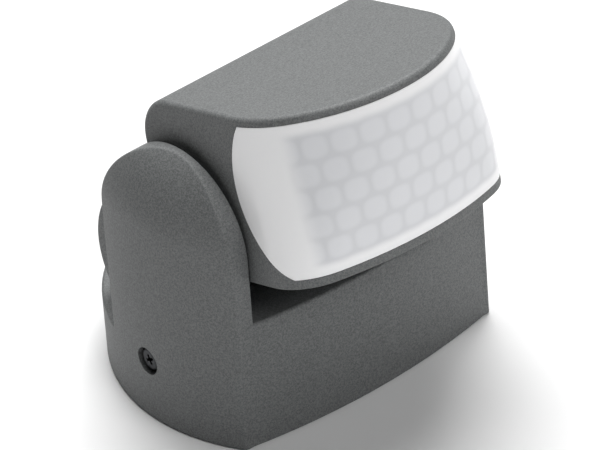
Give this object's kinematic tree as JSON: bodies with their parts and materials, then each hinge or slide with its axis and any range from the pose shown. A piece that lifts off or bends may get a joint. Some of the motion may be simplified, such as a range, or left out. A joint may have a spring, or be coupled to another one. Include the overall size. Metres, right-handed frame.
{
  "type": "motion sensor",
  "caption": "Surface-mounted motion sensor: a D-shaped anthracite base with two arched cheeks and a tilting head behind a white curved faceted lens.",
  "frame": {"origin": "on the mounting face, in the middle plane, level with the widest line of the base", "axes": "+Z away from the mounting face, -Y the way the lens looks, X the width"},
  "size_m": [0.0864, 0.0941, 0.0896],
  "materials": {
    "housing": "anthracite ASA, fine spark-eroded texture",
    "plate": "black ABS, matt",
    "seal": "soft black rubber",
    "black_screw": "black zinc-nickel",
    "zinc": "bright zinc",
    "terminal": "white polyamide",
    "brass": "plain brass",
    "bearing": "black acetal",
    "spring_steel": "spring steel",
    "washer": "hard rubber",
    "lead": "black sheath",
    "lens": "milky polyethylene, moulded in facets",
    "board": "green solder mask on glass-epoxy",
    "can": "nickel-plated can",
    "filter": "dark filter",
    "led": "red clear resin",
    "component": "black epoxy",
    "trimmer": "blue resin",
    "relay": "blue case",
    "film": "yellow case",
    "sleeve": "dark blue shrink sleeve",
    "varistor": "blue epoxy disc",
    "ribbon": "grey flat cable",
    "knob": "dark grey, moulded"
  },
  "bodies": {
    "base": {"base_housing": "housing", "mounting_plate": "plate", "plate_seal": "seal", "housing_screws": "black_screw", "cable_grommet": "seal", "cable_clamp": "plate", "clamp_screws": "zinc", "terminal_block": "terminal", "terminal_cages": "brass", "terminal_screws": "zinc", "pivot_sleeve": "bearing", "pivot_pin": "bearing", "pivot_clips": "spring_steel", "friction_washers": "washer", "supply_lead": "lead"},
    "head": {"head_shell": "housing", "head_tray": "housing", "lens": "lens", "lens_seal": "seal", "head_screws": "black_screw", "sensor_board": "board", "board_screws": "zinc", "board_carrier": "plate", "pir_detector": "can", "pir_window": "filter", "light_sensor": "filter", "indicator_led": "led", "signal_chip": "component", "control_board": "board", "trimmers": "trimmer", "power_board": "board", "relay": "relay", "film_capacitor": "film", "smoothing_capacitor": "sleeve", "varistor": "varistor", "fuse": "component", "lead_connector": "terminal", "board_link": "ribbon"},
    "time_knob": {"time_knob": "knob"},
    "light_knob": {"light_knob": "knob"},
    "range_knob": {"range_knob": "knob"}
  },
  "joints": [
    {"name": "head_tilt", "type": "hinge", "parent": "base", "child": "head", "pos_m": [0, 0.0095, 0.03], "axis": [-1, 0, 0], "range_deg": [-15, 65]},
    {"name": "time_turn", "type": "hinge", "parent": "head", "child": "time_knob", "pos_m": [0, -0.03259, 0.04558], "axis": [0, -0.2622, -0.965], "range_deg": [-135, 135]},
    {"name": "light_turn", "type": "hinge", "parent": "head", "child": "light_knob", "pos_m": [-0.00416, -0.03954, 0.04747], "axis": [0, -0.2622, -0.965], "range_deg": [-135, 135]},
    {"name": "range_turn", "type": "hinge", "parent": "head", "child": "range_knob", "pos_m": [0.00416, -0.03954, 0.04747], "axis": [0, -0.2622, -0.965], "range_deg": [-135, 135]}
  ]
}
